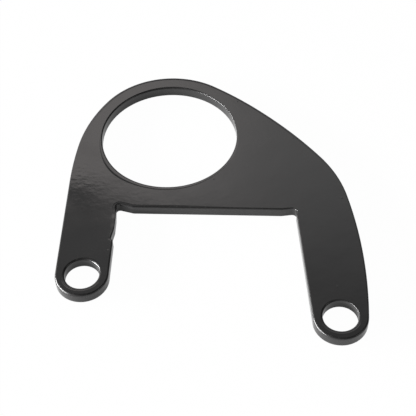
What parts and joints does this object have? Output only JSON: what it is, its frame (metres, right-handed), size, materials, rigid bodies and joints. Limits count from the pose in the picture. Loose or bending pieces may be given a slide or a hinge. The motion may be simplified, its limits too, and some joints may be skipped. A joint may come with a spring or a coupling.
{
  "type": "gauge bracket",
  "caption": "Flat gloss black plate with a large round hole for a gauge, a sloping shoulder and legs of uneven length that end in round bolt eyes.",
  "frame": {"origin": "on the gauge hole's axis, halfway through the plate's thickness", "axes": "+Z along the gauge hole's axis, out of the plate's upper face; +Y away from the legs; +X towards the longer leg, along the notch's straight edge"},
  "size_m": [0.1088, 0.1236, 0.0044],
  "materials": {
    "black_coat": "gloss black coat on steel, slightly wavy, rounded over the edges"
  },
  "bodies": {
    "root": {"bracket_plate": "black_coat"}
  },
  "joints": []
}
